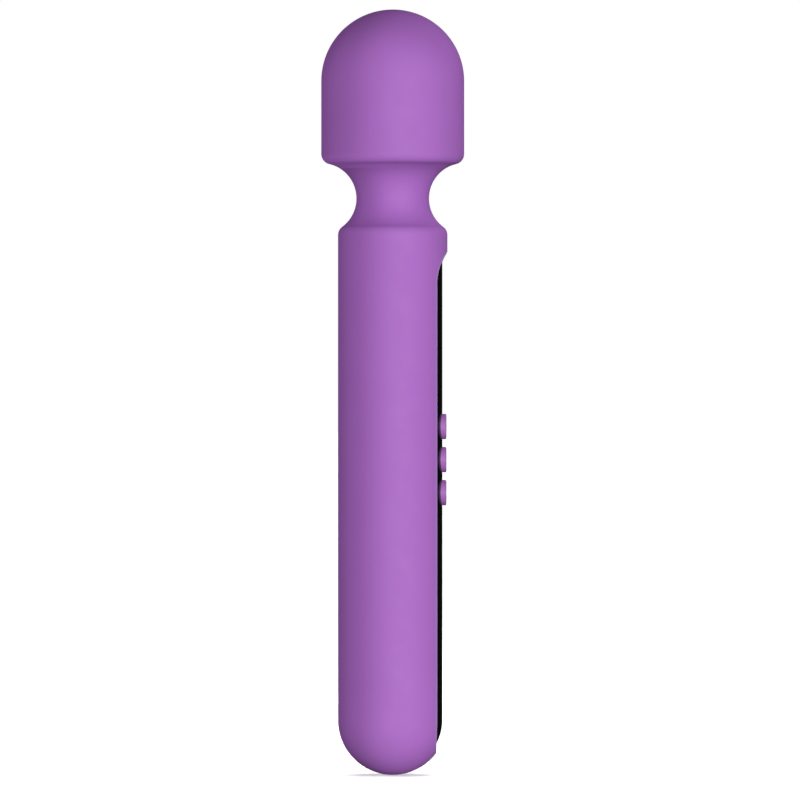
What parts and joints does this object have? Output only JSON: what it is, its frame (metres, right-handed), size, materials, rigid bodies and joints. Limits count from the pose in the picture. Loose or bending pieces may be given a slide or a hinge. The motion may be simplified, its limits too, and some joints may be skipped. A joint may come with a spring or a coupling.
{
  "type": "wand massager",
  "caption": "Handheld rechargeable wand massager: silicone-skinned round handle with a gloss panel and push buttons, flexible neck, domed vibrating head.",
  "frame": {"origin": "on the wand's long axis, at the lowest point of the round butt", "axes": "+Z along the wand from the butt to the head, +X out of the control panel, +Y completes the right-handed frame"},
  "size_m": [0.044, 0.0438, 0.235],
  "materials": {
    "skin_silicone": "matt lilac liquid silicone, soft-touch moulded",
    "button_silicone": "matt lilac silicone over a hard cap",
    "panel_gloss_black": "piano black moulded PC/ABS, polished",
    "housing_abs": "dark grey moulded ABS, fine spark texture",
    "screw_steel": "zinc plated steel",
    "bonding_tape": "foam bonding tape",
    "dark_rubber": "dark moulded rubber",
    "white_plastic": "natural moulded plastic",
    "black_plastic": "black moulded plastic",
    "board_green": "green solder mask on glass-epoxy board",
    "cell_wrap": "shrunk PVC sleeve",
    "nickel": "nickel strip",
    "contact_brass": "plated brass",
    "red_lead": "red PVC insulation",
    "black_lead": "black PVC insulation",
    "motor_steel": "plated drawn steel can",
    "magnet_ferrite": "sintered ferrite",
    "bush_bronze": "oiled sintered bronze",
    "armature_copper": "enamelled copper windings on laminations",
    "weight_iron": "sintered iron"
  },
  "bodies": {
    "handle": {"handle_skin": "skin_silicone", "front_housing": "housing_abs", "rear_housing": "housing_abs", "housing_screws": "screw_steel", "control_panel": "panel_gloss_black", "panel_tape": "bonding_tape", "button_seals": "dark_rubber", "tact_switches": "black_plastic", "main_board": "board_green", "board_chips": "black_plastic", "status_led": "white_plastic", "board_screws": "screw_steel", "battery_cell": "cell_wrap", "battery_tabs": "nickel", "battery_pads": "dark_rubber", "battery_lead_positive": "red_lead", "battery_lead_negative": "black_lead", "charge_jack": "black_plastic", "jack_contacts": "contact_brass", "jack_o_ring": "dark_rubber", "jack_lead_positive": "red_lead", "jack_lead_negative": "black_lead", "neck_base": "housing_abs", "neck_spring": "screw_steel", "neck_bush_lower": "dark_rubber", "neck_skin_lower": "skin_silicone", "motor_lead_positive": "red_lead", "motor_lead_negative": "black_lead"},
    "neck_link": {"neck_ring": "housing_abs", "neck_bush_upper": "dark_rubber", "neck_skin_upper": "skin_silicone"},
    "head": {"head_skin": "skin_silicone", "neck_cap": "housing_abs", "neck_cap_screws": "screw_steel", "head_shell_lower": "housing_abs", "head_shell_upper": "housing_abs", "motor_isolator_lower": "dark_rubber", "motor_isolator_upper": "dark_rubber", "motor_can": "motor_steel", "motor_end_cap": "white_plastic", "motor_terminals": "contact_brass", "motor_magnets": "magnet_ferrite", "motor_bushes": "bush_bronze"},
    "rotor": {"motor_armature": "armature_copper", "motor_shaft": "screw_steel", "eccentric_weight": "weight_iron"},
    "plus_key": {"button_plus": "button_silicone", "plunger_plus": "white_plastic"},
    "power_key": {"button_power": "button_silicone", "plunger_power": "white_plastic"},
    "minus_key": {"button_minus": "button_silicone", "plunger_minus": "white_plastic"},
    "cover": {"port_cover": "skin_silicone"}
  },
  "joints": [
    {"name": "neck_pitch", "type": "hinge", "parent": "handle", "child": "neck_link", "pos_m": [0, 0, 0.1725], "axis": [0, 1, 0], "range_deg": [-15, 15], "stiffness_Nm_per_rad": 2, "deforming": ["neck_skin_lower", "neck_bush_lower", "neck_spring", "motor_lead_positive", "motor_lead_negative"]},
    {"name": "neck_roll", "type": "hinge", "parent": "neck_link", "child": "head", "pos_m": [0, 0, 0.1815], "axis": [1, 0, 0], "range_deg": [-15, 15], "stiffness_Nm_per_rad": 2, "deforming": ["neck_skin_upper", "neck_bush_upper"]},
    {"name": "motor_spin", "type": "hinge", "parent": "head", "child": "rotor", "pos_m": [0, 0, 0.21], "axis": [0, 0, 1], "continuous": true},
    {"name": "plus_press", "type": "slide", "parent": "handle", "child": "plus_key", "axis": [-1, 0, 0], "range_m": [0, 0.0004], "stiffness_N_per_m": 1500, "springref_m": -0.0004},
    {"name": "power_press", "type": "slide", "parent": "handle", "child": "power_key", "axis": [-1, 0, 0], "range_m": [0, 0.0004], "stiffness_N_per_m": 1500, "springref_m": -0.0004},
    {"name": "minus_press", "type": "slide", "parent": "handle", "child": "minus_key", "axis": [-1, 0, 0], "range_m": [0, 0.0004], "stiffness_N_per_m": 1500, "springref_m": -0.0004},
    {"name": "cover_swing", "type": "hinge", "parent": "handle", "child": "cover", "pos_m": [-0.0168, 0, 0.0221], "axis": [0, 1, 0], "range_deg": [0, 140], "stiffness_Nm_per_rad": 0.0005}
  ]
}
